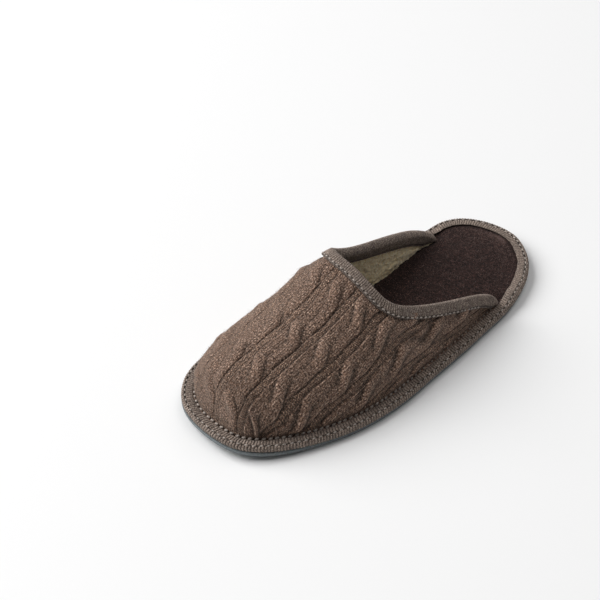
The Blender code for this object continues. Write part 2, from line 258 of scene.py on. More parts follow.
def outsole_points():
    """Cross-sections from heel to toe, each a closed loop: the side up on the outer edge, the top across
    to the inner edge, that side down, and the underside with its tread back across."""
    turn = np.linspace(0, np.pi, STATIONS)[:, None]
    inset, height = np.array(RUBBER_SIDE).T * MM
    inset = inset - TOE_LEDGE * smooth_step((along_of(turn) - 0.80) / 0.15)
    outer = lifted(edge(turn, inset + 0 * turn), height)
    inner = lifted(edge(2 * np.pi - turn, inset + 0 * turn), height)
    over, under, _ = closed_loops(outer, inner, STEPS)
    under[..., 2] += waffle(under)
    return np.concatenate([outer, over, inner[:, ::-1], under], axis=1)


def new_finish(name, roughness, sheen=0.0, tint=(1, 1, 1), colour=(1, 1, 1), sheen_roughness=0.5):
    """A material with its node tree and shader at hand."""
    made = bpy.data.materials.new(name)
    made.use_nodes = True
    shader = made.node_tree.nodes["Principled BSDF"]
    values = {
        "Base Color": (*colour, 1),
        "Roughness": roughness,
        "Specular IOR Level": 0.3,
        "Sheen Weight": sheen,
        "Sheen Roughness": sheen_roughness,
        "Sheen Tint": (*tint, 1),
    }
    for key, value in values.items():
        shader.inputs[key].default_value = value
    return made, made.node_tree, shader


def join(tree, kind, inputs=(), **settings):
    """A node with its settings, its inputs linked from sockets or set to values."""
    node = tree.nodes.new(kind)
    for key, value in settings.items():
        setattr(node, key, value)
    for key, value in dict(inputs).items():
        if isinstance(value, bpy.types.NodeSocket):
            tree.links.new(value, node.inputs[key])
        else:
            node.inputs[key].default_value = value
    return node


def noise(tree, scale, detail=2.0, coordinate="Object", stretch=(1, 1, 1)):
    """Noise at so many cells a metre."""
    place = join(tree, "ShaderNodeTexCoord").outputs[coordinate]
    sizes = {"Vector": place, "Scale": tuple(scale * k for k in stretch)}
    place = join(tree, "ShaderNodeMapping", sizes).outputs[0]
    return join(tree, "ShaderNodeTexNoise", {"Vector": place, "Scale": 1.0, "Detail": detail}).outputs["Fac"]


def ramp(tree, value, stops):
    """A colour ramp with stops of (place, colour)."""
    node = join(tree, "ShaderNodeValToRGB", {"Fac": value})
    band = node.color_ramp
    band.elements[0].position, band.elements[0].color = stops[0][0], (*stops[0][1], 1)
    band.elements[1].position, band.elements[1].color = stops[-1][0], (*stops[-1][1], 1)
    for place, colour in stops[1:-1]:
        band.elements.new(place).color = (*colour, 1)
    return node.outputs["Color"]


def bump(tree, height, depth, below=None):
    """A bump of so many metres, laid over another."""
    inputs = {"Height": height, "Distance": depth, "Strength": 1.0}
    if below is not None:
        inputs["Normal"] = below
    return join(tree, "ShaderNodeBump", inputs).outputs[0]


def cover(tree, shader, colour, relief):
    """The colour and the bumps led to the shader."""
    tree.links.new(colour, shader.inputs["Base Color"])
    tree.links.new(relief, shader.inputs["Normal"])


rubber, tree, shader = new_finish("dark_rubber", 0.62)
grain = noise(tree, 900, 4)
greys = ramp(tree, grain, [(0.3, (0.115, 0.132, 0.138)), (0.7, (0.230, 0.255, 0.264))])
cover(tree, shader, greys, bump(tree, grain, 0.15 * MM))

outsole = make_piece("outsole_rubber", outsole_points(), rubber, wrap=(False, True), merge=1e-6)
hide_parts("outsole")


# ---- Insole: one layer of dark aubergine wool felt, slightly pillowed where the heel rests. Its
# rim is stitched flat under the upper, and round the heel the tape lies on it.
FELT_BOTTOM = 3.3 * MM
FELT_TOP = 7.3 * MM
FELT_RIM_TOP = 4.5 * MM  # where the upper's flange lies on it
FELT_PILLOW = 1.1 * MM
PILLOW_RISE = 20 * MM  # it swells over this width from its rim
HEEL_CLEAR, HEEL_RISE = 13 * MM, 28 * MM  # and starts this far from the heel's end, over this length
COLLAR_END = (0.213, 0.147)  # where the upper begins, along, on the outer and on the inner side
SOLE_TAPE_SINK = 14 * MM  # the tape comes down from the felt to the flange over this length
FELT_STATIONS, FELT_STEPS = 260, 130


def front_share(turn):
    """0 round the heel, 1 where the upper's flange lies under the tape, and a smooth step between."""
    end = np.where(turn <= np.pi, *COLLAR_END)
    reach = SOLE_TAPE_SINK / LENGTH
    return smooth_step((along_of(turn) - end + reach) / reach)


def value_noise(points, cell, seed):
    """Random values on a cubic lattice with a given cell, blended smoothly between its corners, -1 to 1."""
    table = np.random.default_rng(seed).uniform(-1, 1, (64, 64, 64))
    place = np.asarray(points, float) / cell
    low = np.floor(place).astype(int)
    share = smooth_step(place - low)
    total = 0.0
    for corner in np.ndindex(2, 2, 2):
        weight = np.prod(np.where(corner, share, 1 - share), axis=-1)
        i, j, k = np.moveaxis((low + corner) % 64, -1, 0)
        total = total + weight * table[i, j, k]
    return total


def pillow(from_rim, y):
    """The felt's gentle rise away from its rim and from the heel's end."""
    from_heel = smooth_step((LENGTH / 2 - HEEL_CLEAR - y) / HEEL_RISE)
    return FELT_PILLOW * smooth_step(from_rim / PILLOW_RISE) * from_heel


def felt_points():
    """Cross-sections as of the outsole, with the felt's rim pressed down under the upper and a slope up to
    its full thickness. The pillow rises away from the rim, and the surface is a little lumpy."""
    turn = np.linspace(0, np.pi, FELT_STATIONS)[:, None]
    halves = []
    for side in (turn, 2 * np.pi - turn):
        rim = FELT_TOP + (FELT_RIM_TOP - FELT_TOP) * front_share(side)
        rows = [
            # inset in mm, height
            (1.3, FELT_BOTTOM),
            (1.3, rim - 0.3 * MM),
            (1.6, rim),
            (11.4, rim),
            (12.6, rim + 0.35 * (FELT_TOP - rim)),
            (14.9, FELT_TOP),
        ]
        lines = [lifted(edge(side, inset * MM), height + 0 * side) for inset, height in rows]
        halves.append(np.concatenate(lines, axis=1))
    outer, inner = halves
    over, under, share = closed_loops(outer, inner, FELT_STEPS)
    width = np.linalg.norm(inner[:, -1:] - outer[:, -1:], axis=-1)
    from_rim = np.minimum(share, 1 - share)[..., 0] * width
    lumps = 0.12 * MM * value_noise(over, 3.1 * MM, 11) * smooth_step(from_rim / (3 * MM))
    over[..., 2] += pillow(from_rim, over[..., 1]) + lumps
    return np.concatenate([outer, over, inner[:, ::-1], under], axis=1)


def blend_colours(tree, kind, first, *others):
    """Colours laid over each other, each fully multiplied or added."""
    for other in others:
        inputs = {0: 1.0, 6: first, 7: other}
        first = join(tree, "ShaderNodeMix", inputs, data_type="RGBA", blend_type=kind).outputs[2]
    return first


felt, tree, shader = new_finish("aubergine_felt", 1.0, 0.03, (0.55, 0.42, 0.38), sheen_roughness=0.6)
fine, specks, cloud = noise(tree, 1500, 3), noise(tree, 1050, 2), noise(tree, 160, 3)
reds = [(0.34, (0.0020, 0.0009, 0.0007)), (0.50, (0.010, 0.0044, 0.0037)), (0.66, (0.046, 0.023, 0.019))]
light_hairs = ramp(tree, specks, [(0.58, (0, 0, 0)), (0.74, (0.10, 0.055, 0.046))])
cloudy = ramp(tree, cloud, [(0.35, (0.82, 0.80, 0.80)), (0.68, (1.15, 1.12, 1.12))])
hue = blend_colours(tree, "ADD", ramp(tree, fine, reds), light_hairs)
nap = bump(tree, noise(tree, 1700, 3), 0.4 * MM, bump(tree, cloud, 0.35 * MM))
cover(tree, shader, blend_colours(tree, "MULTIPLY", hue, cloudy), nap)

insole = make_piece("felt_insole", felt_points(), felt, wrap=(False, True), merge=1e-6)
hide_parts("insole")


# ---- Sole tape: fine ribbed knit, folded over the edge of the sole and stitched down twice:
# along its inner edge, and just inside the fold. Its ribs run across it.
TAPE_THICKNESS = 1 * MM
TAPE_ROLL = 1.8 * MM
HEEL_TAPE_WIDTH = 7.2 * MM
FRONT_TAPE_WIDTH = 6.6 * MM
HEEL_TAPE_TOP = 8.6 * MM
FRONT_TAPE_TOP = 7.0 * MM
SOLE_RIB = 1.9 * MM
RIB_SAMPLES = 7  # points over each rib
RIB_LIFT = 0.55 * MM
THREAD_STEP = 4.5 * MM  # between the stitches of the outer row
TAPE_ACROSS = [
    # from the tape's inner edge outwards: inset as a share of its width, drop as a share of its
    # thickness, how much of the ribs shows, and how deep a row of stitches draws it in
    (1.00, 0.55, 0.0, 0.0),
    (1.03, 0.20, 0.1, 0.0),
    (1.00, 0.02, 0.4, 0.1),
    (0.93, 0.00, 0.8, 0.2),
    *((share, 0.00, 1.0, 0.0) for share in (0.86, 0.76, 0.66, 0.56, 0.47)),
    (0.41, 0.00, 0.9, 0.1),
    (0.36, 0.00, 0.3, 1.0),
    (0.30, 0.00, 0.1, 1.4),
    (0.24, 0.00, 0.3, 1.0),
    (0.20, 0.00, 0.9, 0.1),
]


def length_along(points):
    """The summed length from 0 at a line's first point to each of the others, or along each row of a grid."""
    step = np.linalg.norm(np.diff(points, axis=-2), axis=-1)
    return np.concatenate([np.zeros((*step.shape[:-1], 1)), np.cumsum(step, axis=-1)], axis=-1)


def even_turns(count):
    """Angles at even steps of length round the outline, by inverting the summed length."""
    dense = np.linspace(0, 2 * np.pi, 4001)
    run = length_along(raw_outline(dense))
    return np.interp(np.arange(count) * run[-1] / count, run, dense), run[-1]


def knit_rib(run, samples):
    """A rib profile: a rounded wale, then a narrow gap, once in so many samples."""
    return np.abs(np.cos(np.pi * run / samples)) ** 0.7


def sole_tape_points():
    """The tape's section carried round the outline. The section is a list of (inset, height, rib, dip): the
    inner edge, the flat top, the groove of the second stitch row, the rolled fold and the side. The ribs
    and the dips move it along its own normal."""
    length = even_turns(10)[1]
    ribs = int(round(length / SOLE_RIB))
    turn = even_turns(ribs * RIB_SAMPLES)[0]
    front = front_share(turn)
    top = HEEL_TAPE_TOP + (FRONT_TAPE_TOP - HEEL_TAPE_TOP) * front
    width = HEEL_TAPE_WIDTH + (FRONT_TAPE_WIDTH - HEEL_TAPE_WIDTH) * front
    wobble = 0.12 * MM * np.sin(turn * 23) + 0.08 * MM * np.sin(turn * 61 + 1)
    rows = []
    for share, drop, rib, dip in TAPE_ACROSS:
        inset = width * share + wobble * smooth_step((share - 0.5) * 2)
        rows.append((inset, top - drop * TAPE_THICKNESS, rib, dip))
    low = FELT_BOTTOM - 0.15 * MM
    for angle in np.radians([15, 35, 55, 75, 90]):
        rows.append((TAPE_ROLL * (1 - np.sin(angle)), top - TAPE_ROLL * (1 - np.cos(angle)), 1.0, 0.0))
    for share in (0.5, 0.68, 0.84):
        rows.append((0.05 * MM, top - (top - low) * share, 1.0, 0.0))
    rows += [(0.35 * MM, low + 0.25 * MM, 0.6, 0.0), (1.0 * MM, low, 0.0, 0.0)]
    points = np.stack([lifted(edge(turn, inset + 0 * turn), height) for inset, height, rib, dip in rows])
    rib, dip = (np.array([row[k] for row in rows])[:, None] for k in (2, 3))
    across = np.gradient(points, axis=0)
    round_it = np.roll(points, -1, axis=1) - np.roll(points, 1, axis=1)
    normal = unit(np.cross(round_it, across))
    normal *= np.sign(normal[8, :, 2].mean())
    run = np.arange(len(turn))[None, :] + 1.2 * np.sin(np.arange(len(rows)) * 0.6)[:, None]
    distance = np.arange(len(turn))[None, :] * length / len(turn)
    hole = np.clip(np.cos(2 * np.pi * distance / THREAD_STEP), 0, 1) ** 3 * (dip > 0.5)
    ribbing = knit_rib(run, RIB_SAMPLES)
    lift = RIB_LIFT * rib * (ribbing - 0.6) - (0.5 * dip + 0.45 * hole) * MM
    lift = lift + 0.10 * MM * value_noise(points, 1.1 * MM, 5)
    # Painted shade and highlight: the shade mark darkens the tape between its ribs, in the stitched groove and
    # in the stitch holes, and lightens the rib tops.
    shade = 0.5 + rib * (0.85 * ribbing - 0.55) - 0.34 * dip - 0.5 * hole
    shade = shade + 0.06 * value_noise(points, 0.9 * MM, 6)
    return points + normal * lift[..., None], np.clip(shade, 0, 1), turn, top, width


def painted_shading_colour(tree, darkest, lightest):
    """A grey for painted shade and painted highlight: it darkens a cloth in its hollows and lightens it on
    its tops, by the mesh's own shade mark.
    """
    value = join(tree, "ShaderNodeAttribute", attribute_name="shade").outputs["Fac"]
    return ramp(tree, value, [(0.0, (darkest,) * 3), (0.5, (1.0, 1.0, 1.0)), (1.0, (lightest,) * 3)])


def tape_finish(name, dark, mid, light, painted_rib_shade=True):
    """Melange wool yarn: three tones by fine noise, cloudy, and for the tapes a painted shade between the
    ribs and a painted highlight on their tops, by the mesh's shade mark.
    """
    made, tree, shader = new_finish(name, 0.95, 0.2, (0.8, 0.72, 0.66))
    yarn = noise(tree, 1500, 2)
    hue = ramp(tree, yarn, [(0.32, dark), (0.50, mid), (0.66, light)])
    patch = ramp(tree, noise(tree, 200, 2), [(0.3, (0.78, 0.77, 0.76)), (0.7, (1.12, 1.09, 1.06))])
    hue = blend_colours(tree, "MULTIPLY", hue, patch)
    if painted_rib_shade:
        # Painted shade between the ribs and a painted highlight on their tops.
        hue = blend_colours(tree, "MULTIPLY", hue, painted_shading_colour(tree, 0.14, 1.85))
    cover(tree, shader, hue, bump(tree, yarn, 0.4 * MM))
    return made


sole_points, sole_painted_shading, sole_turn, sole_top, sole_width = sole_tape_points()
taupe = tape_finish("taupe_tape", (0.080, 0.061, 0.051), (0.175, 0.137, 0.115), (0.36, 0.30, 0.26))
# The shade mark carries the tape's painted shade and painted highlight.
sole_tape = make_piece("sole_tape", sole_points, taupe, marks={"shade": sole_painted_shading}, wrap=(False, True))
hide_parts("sole_binding")


# ---- Upper: cable-knit wool, one piece drawn over the last with its columns running from the
# toe to the throat. Cables of two strands alternate with narrow sunk columns, and every cable
# crosses the same way about every 32 mm. Its edge is caught flat under the sole tape.
INSTEP_HEIGHT = 67 * MM
UPPER_WALL = 3 * MM
FLANGE_TOP = 5.7 * MM
FLANGE_BOTTOM = 4.8 * MM
CREASE_INSET = 8.1 * MM  # where the upper turns up out of its flange
UPPER_SWELL = 1.5 * MM  # its sides belly out past that by this
RIDGE_SOFTNESS = 0.25
THIN_TOE = 0.4
ARCHES = [
    # along, height, ridge, outer fullness, inner fullness
    (0.150, 0.89, 0.40, 1.70, 2.35),
    (0.300, 0.96, 0.37, 1.70, 2.35),
    (0.450, 1.00, 0.33, 1.72, 2.30),
    (0.585, 0.99, 0.32, 1.86, 2.24),
    (0.680, 0.83, 0.39, 1.98, 2.15),
    (0.780, 0.73, 0.46, 2.15, 2.12),
    (0.860, 0.66, 0.49, 2.26, 2.12),
    (0.920, 0.59, 0.49, 2.24, 2.16),
    (0.965, 0.49, 0.49, 2.20, 2.20),
    (0.990, 0.32, 0.49, 2.20, 2.20),
    (1.000, 0.00, 0.50, 2.20, 2.20),
]
COLLAR = [
    # across, along on the outer side, along on the inner side
    (0.00, 0.561, 0.561),
    (0.15, 0.562, 0.548),
    (0.30, 0.561, 0.518),
    (0.42, 0.557, 0.463),
    (0.52, 0.543, 0.392),
    (0.60, 0.507, 0.337),
    (0.68, 0.435, 0.286),
    (0.75, 0.363, 0.245),
    (0.82, 0.297, 0.208),
    (0.89, 0.249, 0.177),
    (0.94, 0.229, 0.160),
    (1.00, 0.213, 0.147),
]
KNIT_ACROSS, KNIT_ALONG = 400, 235
REPEAT = 19.9 * MM  # from one cable to the next
CABLE = 14.2 * MM  # its width
CABLE_START = 1.0 * MM  # the first cable's inner side, from the line over the ridge
CROSSING = 31.8 * MM  # from one crossing to the next
FIRST_CROSSING = -101 * MM
STITCH_WIDTH, STITCH_HEIGHT = 1.45 * MM, 1.15 * MM
DEEPEST = 1.3 * MM  # hardly any hollow of the knit goes deeper, because the fleece lies below
TOE_BEND = 112 * MM  # forward of this, from the middle, the columns follow the slipper's plan
CREASES = [
    # soft troughs: place round the foot, place along, half length, half width, slant, depth, in mm
    (62, -8, 14, 4.5, 0.55, 0.8),
    (70, 6, 16, 4.5, 0.70, 0.9),
    (77, 22, 14, 4.0, 0.80, 0.8),
    (54, -30, 16, 5.0, 0.25, 0.8),
    (-38, -46, 18, 5.0, -0.20, 0.8),
    (24, -112, 10, 4.0, 0.30, 0.7),
    (-12, -114, 9, 4.0, -0.20, 0.7),
]


def last_point(along, across, depth):
    """A point of the last: each arch is a quarter of a superellipse on each side of the ridge, in polar form,
    from the sole's outer edge (across 1) over the ridge (0) to its inner edge (-1). depth goes inwards."""
    places = (np.asarray(place, float) for place in (along, across, depth))
    along, across, depth = np.broadcast_arrays(*places)
    rows = np.array(ARCHES)
    turn, knots = turn_of(along), turn_of(rows[:, 0])
    height, ridge_place, outer_full, inner_full = (spline(knots, row, turn) for row in rows[:, 1:].T)
    side, size = across >= 0, np.abs(across)
    pace = 0.5 / np.where(side, 1 - ridge_place, ridge_place)
    rise = (1 - size * (pace + (1 - pace) * size)) * np.pi / 2
    out, up = np.cos(rise), np.sin(rise)
    thick = smooth_step(height / THIN_TOE)
    swell = UPPER_SWELL * thick * 2 * up * out**3 / 0.65
    inset = CREASE_INSET + depth
    outer, inner = edge(turn, inset), edge(2 * np.pi - turn, inset)
    ridge = inner + (outer - inner) * ridge_place[..., None]
    outer, inner = edge(turn, inset - swell), edge(2 * np.pi - turn, inset - swell)
    foot = np.where(side[..., None], outer, inner)
    soft, fullness = RIDGE_SOFTNESS, np.where(side, outer_full, inner_full)
    rounded = (out**2 + soft**2) ** (fullness / 2) - soft**fullness
    rounded /= (1 + soft**2) ** (fullness / 2) - soft**fullness
    reach = (rounded + np.abs(up) ** fullness) ** (-1 / fullness)
    base = FLANGE_TOP + (FLANGE_BOTTOM - FLANGE_TOP) * np.clip(depth / UPPER_WALL, 0, 1)
    ridge_height = (INSTEP_HEIGHT - base) * height - depth * thick
    plan = ridge + (foot - ridge) * (reach * out)[..., None]
    return lifted(plan, base + ridge_height * reach * up)


def collar_along(across):
    """Where the collar's edge is, along the slipper, on each line of the last: one spline over both sides."""
    rows = np.array(COLLAR)
    knots = np.concatenate([-rows[:0:-1, 0], rows[:, 0]])
    return spline(knots, np.concatenate([rows[:0:-1, 2], rows[:, 1]]), across)


def surface_normal(grid):
    """The cross product of a grid's two slopes, turned so that it points out and up."""
    normal = unit(np.cross(np.gradient(grid, axis=0), np.gradient(grid, axis=1)))
    rows, columns = grid.shape[:2]
    return normal * np.sign(normal[rows // 2, columns // 4, 2])


def upper_grid(rows, columns, depth):
    """Rows from the outer to the inner side, columns from the collar to the toe, closer where it bends
    down. Gives the points, and along and across at each."""
    across = np.linspace(1, -1, rows)[:, None]
    start = turn_of(collar_along(across))
    share = np.linspace(0, 1, columns)
    turn = start + (np.pi - start) * share * (0.75 + 0.25 * share)
    along = along_of(turn)
    return last_point(along, across, depth), along, np.broadcast_to(across, along.shape)


def fabric_place(points, across):
    """Place in the cloth: the length round the foot from a line over the ridge, and the length along it. The
    first is summed along upright sections of the last, found by stepping towards each level. Over the toe
    it follows the plan, and the outer columns turn down, by the square of the distance past a line."""
    levels = np.linspace(-121, 110, 120) * MM
    lines = np.linspace(1, -1, 161)
    along = np.clip(-(levels[:, None] + CENTRE[1]) / LENGTH + 0 * lines, 0.02, 0.9999)
    for _ in range(14):
        there = last_point(along, lines, 0)
        along = np.clip(along + (there[..., 1] - levels[:, None]) / LENGTH, 0.02, 0.9999)
    there = last_point(along, lines, 0)
    run = length_along(there[..., [0, 2]])
    # The line over the ridge: 6 mm to the inner side at the throat, and in the middle at the toe.
    middle = (-6 + 6 * (-20 - levels * 1000) / 106) * MM
    at_middle = np.array([np.interp(-m, -x, r) for m, x, r in zip(middle, there[..., 0], run)])
    run = at_middle[:, None] - run
    i = np.clip((points[..., 1] - levels[0]) / (levels[1] - levels[0]), 0, len(levels) - 1.001)
    j = np.clip((1 - across) / 2 * (len(lines) - 1), 0, len(lines) - 1.001)
    a, b = i.astype(int), j.astype(int)
    s, t = i - a, j - b
    before = (1 - t) * run[a, b] + t * run[a, b + 1]
    after = (1 - t) * run[a + 1, b] + t * run[a + 1, b + 1]
    found = (1 - s) * before + s * after
    row = np.argmin(np.abs(levels + TOE_BEND))
    by_plan = np.interp(-points[..., 0], -there[row, :, 0], run[row])
    over_toe = smooth_step((-points[..., 1] - TOE_BEND) / (10 * MM))
    round_foot = (1 - over_toe) * found + over_toe * by_plan
    cloth = round_foot.copy()
    for _ in range(3):
        slanted = 0.8 * np.clip(cloth / MM - 35, -8, 40)
        past = np.clip(-points[..., 1] / MM - 90 + slanted, 0, 20)
        cloth = round_foot - np.clip((cloth / MM - 20) * 0.0007, 0, 0.018) * past**2 * MM
    down_toe = np.clip(36 * MM + toe_lift(points[..., 1]) - points[..., 2], 0, 30 * MM)
    return cloth, points[..., 1] - over_toe * down_toe


def strand(distance, half_width):
    """The rounded section of one strand of a cable, 1 in its middle and 0 at its sides."""
    return np.clip(1 - (distance / half_width) ** 2, 0, 1) ** 0.65


def cable_relief(cloth, row):
    """Height of the knit, and 1 on the cables. Two strands lie side by side and cross: one goes over from the
    outer to the inner side as an S, the other goes under it, each with a rounded section. Between the
    cables the ground is sunk, with a sharp groove of changing depth on one side and a fine raised wale
    on the other. All of it is quieter just past the ridge on the inner side."""
    order = np.floor((cloth - CABLE_START + (REPEAT - CABLE) / 2) / REPEAT)
    a = (cloth - CABLE_START - order * REPEAT) / MM + 0.35 * np.sin(row * 260 + order * 2.1)
    first = FIRST_CROSSING + (1.2 * order**2 + 1.5 * np.abs(order)) * MM
    cycle = (row - first) / CROSSING
    b = (cycle - np.round(cycle)) * CROSSING / MM + 0.8 * np.sin(np.round(cycle) * 2.4 + order)
    swing = np.sin(np.clip(b / 8.5, -1, 1) * np.pi / 2)
    near = np.exp(-((b / 7.0) ** 2))
    middle, half, reach = 7.1, 4.15, 3.4  # of a strand, in mm
    over = (0.90 + 1.60 * near) * strand(a - middle + reach * swing, half + 0.55 * near)
    under = (0.90 - 0.60 * near) * strand(a - middle - reach * swing, half)
    cable = np.maximum(over, under) + 0.25 * np.minimum(over, under)
    in_cable = smooth_step((a + 0.3) / 0.9) * smooth_step((14.6 - a) / 0.8)
    wale = 0.60 * np.exp(-(((a - 0.55) / 0.55) ** 2)) * (1 - 0.5 * near)
    broken = 0.72 + 0.28 * np.sin(row * 610 + order * 2.3) * np.sin(row * 173 + order)
    groove = -0.80 * broken * np.exp(-(((a - 14.7) / 0.60) ** 2)) - 0.20 * np.exp(-(((a + 0.8) / 0.7) ** 2))
    past_ridge = smooth_step(-cloth / (16 * MM))
    quiet = 1 - 0.55 * past_ridge * (1 - 0.75 * smooth_step((-cloth - 24 * MM) / (16 * MM)))
    return (cable * in_cable + wale + groove) * quiet * MM, in_cable


def soft_creases(cloth, row):
    """Shallow troughs with slightly raised banks, each a slanted bell shape across and a longer one along."""
    total = 0.0
    for place, y, length, width, slant, depth in CREASES:
        along = row / MM - y
        across = (cloth / MM - place) - slant * along
        bell = np.exp(-((along / length) ** 2))
        trough = np.exp(-((across / width) ** 2))
        banks = np.exp(-(((np.abs(across) - 1.7 * width) / width) ** 2))
        total = total - depth * bell * (trough - 0.55 * banks)
    return total * MM


base, along, across = upper_grid(KNIT_ACROSS, KNIT_ALONG, 0.6 * MM)
outwards = surface_normal(base)
cloth, row = fabric_place(base, across)
relief, in_cable = cable_relief(cloth, row)
from_collar = length_along(base)
from_toe = from_collar[:, -1:] - from_collar
above_sole = base[..., 2] - toe_lift(base[..., 1]) - FLANGE_TOP
# The relief is 0 where the knit is stitched down, and lower at the toe's tip.
free = smooth_step((from_collar - 5.8 * MM) / (2.2 * MM))
free = free * smooth_step((above_sole - 0.6 * MM) / (4.5 * MM))
near_tip = 0.4 + 0.6 * smooth_step((from_toe - 6 * MM) / (24 * MM))
coarse, middling = value_noise(base, 6 * MM, 3), value_noise(base, 2.1 * MM, 4)
rough = 0.22 * coarse + 0.20 * middling + 0.14 * value_noise(base, 1.05 * MM, 6)
height = free * (relief * near_tip - 0.6 * MM + soft_creases(cloth, row))
height = height + (0.15 + 0.85 * free) * rough * MM
height = np.maximum(height, -DEEPEST + 0.15 * (height + DEEPEST))
knit_points = base + outwards * height[..., None]


def skirt(turns):
    """The cloth's edge, pressed flat under the sole tape: rows from its cut edge in to the foot line."""
    insets = np.array([4.4, 5.4, 6.2, 7.0])[:, None] * MM
    rise = np.array([0.15, 0.15, 0.5, 0.75])[:, None] * MM
    return lifted(edge(turns[None, :], insets + 0 * turns), FLANGE_TOP + rise)


def soften(values, passes):
    """Repeated averaging with the neighbours along both directions of a grid."""
    for _ in range(passes):
        for axis in (0, 1):
            padded = np.concatenate([values.take([0], axis), values, values.take([-1], axis)], axis)
            count = values.shape[axis]
            values = sum(w * padded.take(range(i, i + count), axis) for i, w in enumerate((0.25, 0.5, 0.25)))
    return values


# Painted shade and highlight: the shade mark is low where the knit lies below its smoothed surface and high
# where it stands above it, to darken the hollows and lighten the tops.
hollow = (height - soften(height, 16)) / (0.42 * MM)
shade = 0.5 + 0.5 * np.clip(hollow, -1, 1)
turns = turn_of(along)
knit_points = np.concatenate([skirt(turns[0]), knit_points, skirt(2 * np.pi - turns[-1])[::-1]])
skirts = ((4, 4), (0, 0))
shade, cloth, row, in_cable = (np.pad(k, skirts, mode="edge") for k in (shade, cloth, row, in_cable))

melange, tree, shader = new_finish("melange_knit", 0.95, 0.3, (0.85, 0.72, 0.62))
place = join(tree, "ShaderNodeUVMap", uv_map="fabric").outputs[0]
parts = join(tree, "ShaderNodeSeparateXYZ", {"Vector": place})


def reckon(tree, operation, *values):
    """One step of arithmetic on sockets or numbers."""
    return join(tree, "ShaderNodeMath", enumerate(values), operation=operation).outputs[0]


def bars(tree, value):
    """Rounded bars, one for each 1 of the value: the absolute sine."""
    return reckon(tree, "ABSOLUTE", reckon(tree, "SINE", reckon(tree, "MULTIPLY", value, 3.1416)))


def stitch_height(tree, u, v):
    """Small V stitches: bars across, and a sine along the wale whose rows bend in a zigzag with it."""
    zigzag = reckon(tree, "MULTIPLY", reckon(tree, "PINGPONG", u, 0.5), 1.1)
    rows = reckon(tree, "SINE", reckon(tree, "MULTIPLY", reckon(tree, "ADD", v, zigzag), 6.2832))
    return reckon(tree, "ADD", reckon(tree, "MULTIPLY", rows, 0.35), bars(tree, u))


def purl_height(tree, u, v):
    """Purl bumps: bars along, staggered by half a row from wale to wale, times weaker ones across."""
    shifted = reckon(tree, "ADD", v, reckon(tree, "MULTIPLY", reckon(tree, "FLOOR", u), 0.5))
    across = reckon(tree, "ADD", reckon(tree, "MULTIPLY", bars(tree, u), 0.5), 0.5)
    return reckon(tree, "MULTIPLY", bars(tree, shifted), across)


stitches = stitch_height(tree, parts.outputs[0], parts.outputs[1])
purls = purl_height(tree, parts.outputs[0], parts.outputs[1])
fine, yarn, cloud = noise(tree, 1700, 2), noise(tree, 1.3, 3, "UV", (1.15, 0.75, 1)), noise(tree, 75, 3)
browns = [
    (0.32, (0.032, 0.018, 0.013)),
    (0.46, (0.130, 0.080, 0.058)),
    (0.57, (0.245, 0.165, 0.125)),
    (0.70, (0.48, 0.36, 0.30)),
]
speck = ramp(tree, fine, [(0.32, (0.28, 0.27, 0.28)), (0.5, (1.0, 1.0, 1.0)), (0.66, (1.95, 1.87, 1.76))])
patch = ramp(tree, cloud, [(0.3, (0.90, 0.88, 0.86)), (0.7, (1.10, 1.09, 1.07))])
ground = join(tree, "ShaderNodeAttribute", attribute_name="ground").outputs["Fac"]
# Painted shade in the gaps between stitches and between purl bumps, and a painted highlight on their tops, by
# their heights; the purl's stronger one lies between the cables.
painted_stitch_shading = [(0.0, (0.60, 0.57, 0.55)), (0.75, (1.10, 1.10, 1.10))]
painted_purl_shading = [(0.0, (0.30, 0.28, 0.27)), (0.45, (0.85, 0.84, 0.83)), (0.95, (1.75, 1.70, 1.62))]
tones = {0: ground, 6: ramp(tree, stitches, painted_stitch_shading), 7: ramp(tree, purls, painted_purl_shading)}
loops = join(tree, "ShaderNodeMix", tones, data_type="RGBA").outputs[2]
# Painted shade in the knit's hollows and a painted highlight on its tops, by the shade mark.
hollows = painted_shading_colour(tree, 0.36, 1.22)
hue = blend_colours(tree, "MULTIPLY", ramp(tree, yarn, browns), speck, patch, loops, hollows)
level = join(tree, "ShaderNodeMix", {0: ground, 2: stitches, 3: purls})
strength = reckon(tree, "ADD", reckon(tree, "MULTIPLY", ground, 1.6), 0.8)
stitches = reckon(tree, "MULTIPLY", level.outputs[0], strength)
soft_bump = bump(tree, yarn, 0.55 * MM, bump(tree, stitches, 0.22 * MM))
cover(tree, shader, hue, bump(tree, fine, 0.3 * MM, soft_bump))

knit_uv = np.stack([cloth / STITCH_WIDTH, row / STITCH_HEIGHT], axis=-1)
# The shade mark carries the knit's painted shade and highlight.
marks = {"shade": shade, "ground": 1 - in_cable}
knit = make_piece("cable_knit", knit_points, melange, knit_uv, marks, flip=True, merge=2e-6)
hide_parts("upper")


# ---- Lining: cream wool fleece, sewn to the knit at the collar and caught under it at the sole.
# Its pile is short and curly, and its lower edge lies wavy on the felt.
FLEECE_DEPTH = 2.5 * MM  # inside the last's face
FLEECE_ACROSS, FLEECE_ALONG = 300, 170


def fleece_points():
    """The last's inside surface, with curls: two sizes of smooth noise laid over each other, the larger
    sharpened at its tops. The curls grow in from the collar, and near the felt they are fuller."""
    inside, along, across = upper_grid(FLEECE_ACROSS, FLEECE_ALONG, FLEECE_DEPTH)
    normal = surface_normal(inside)
    curls = 1 - np.abs(value_noise(inside, 2.3 * MM, 21)) * 1.4 + 0.5 * value_noise(inside, 1.0 * MM, 22)
    near_felt = smooth_step((np.abs(across) - 0.86) / 0.08) * smooth_step((along - 0.26) / 0.08)
    amount = 0.75 * smooth_step(length_along(inside) / (4 * MM)) * (1 + 0.9 * near_felt)
    return inside - normal * ((0.35 + amount * curls) * MM)[..., None]


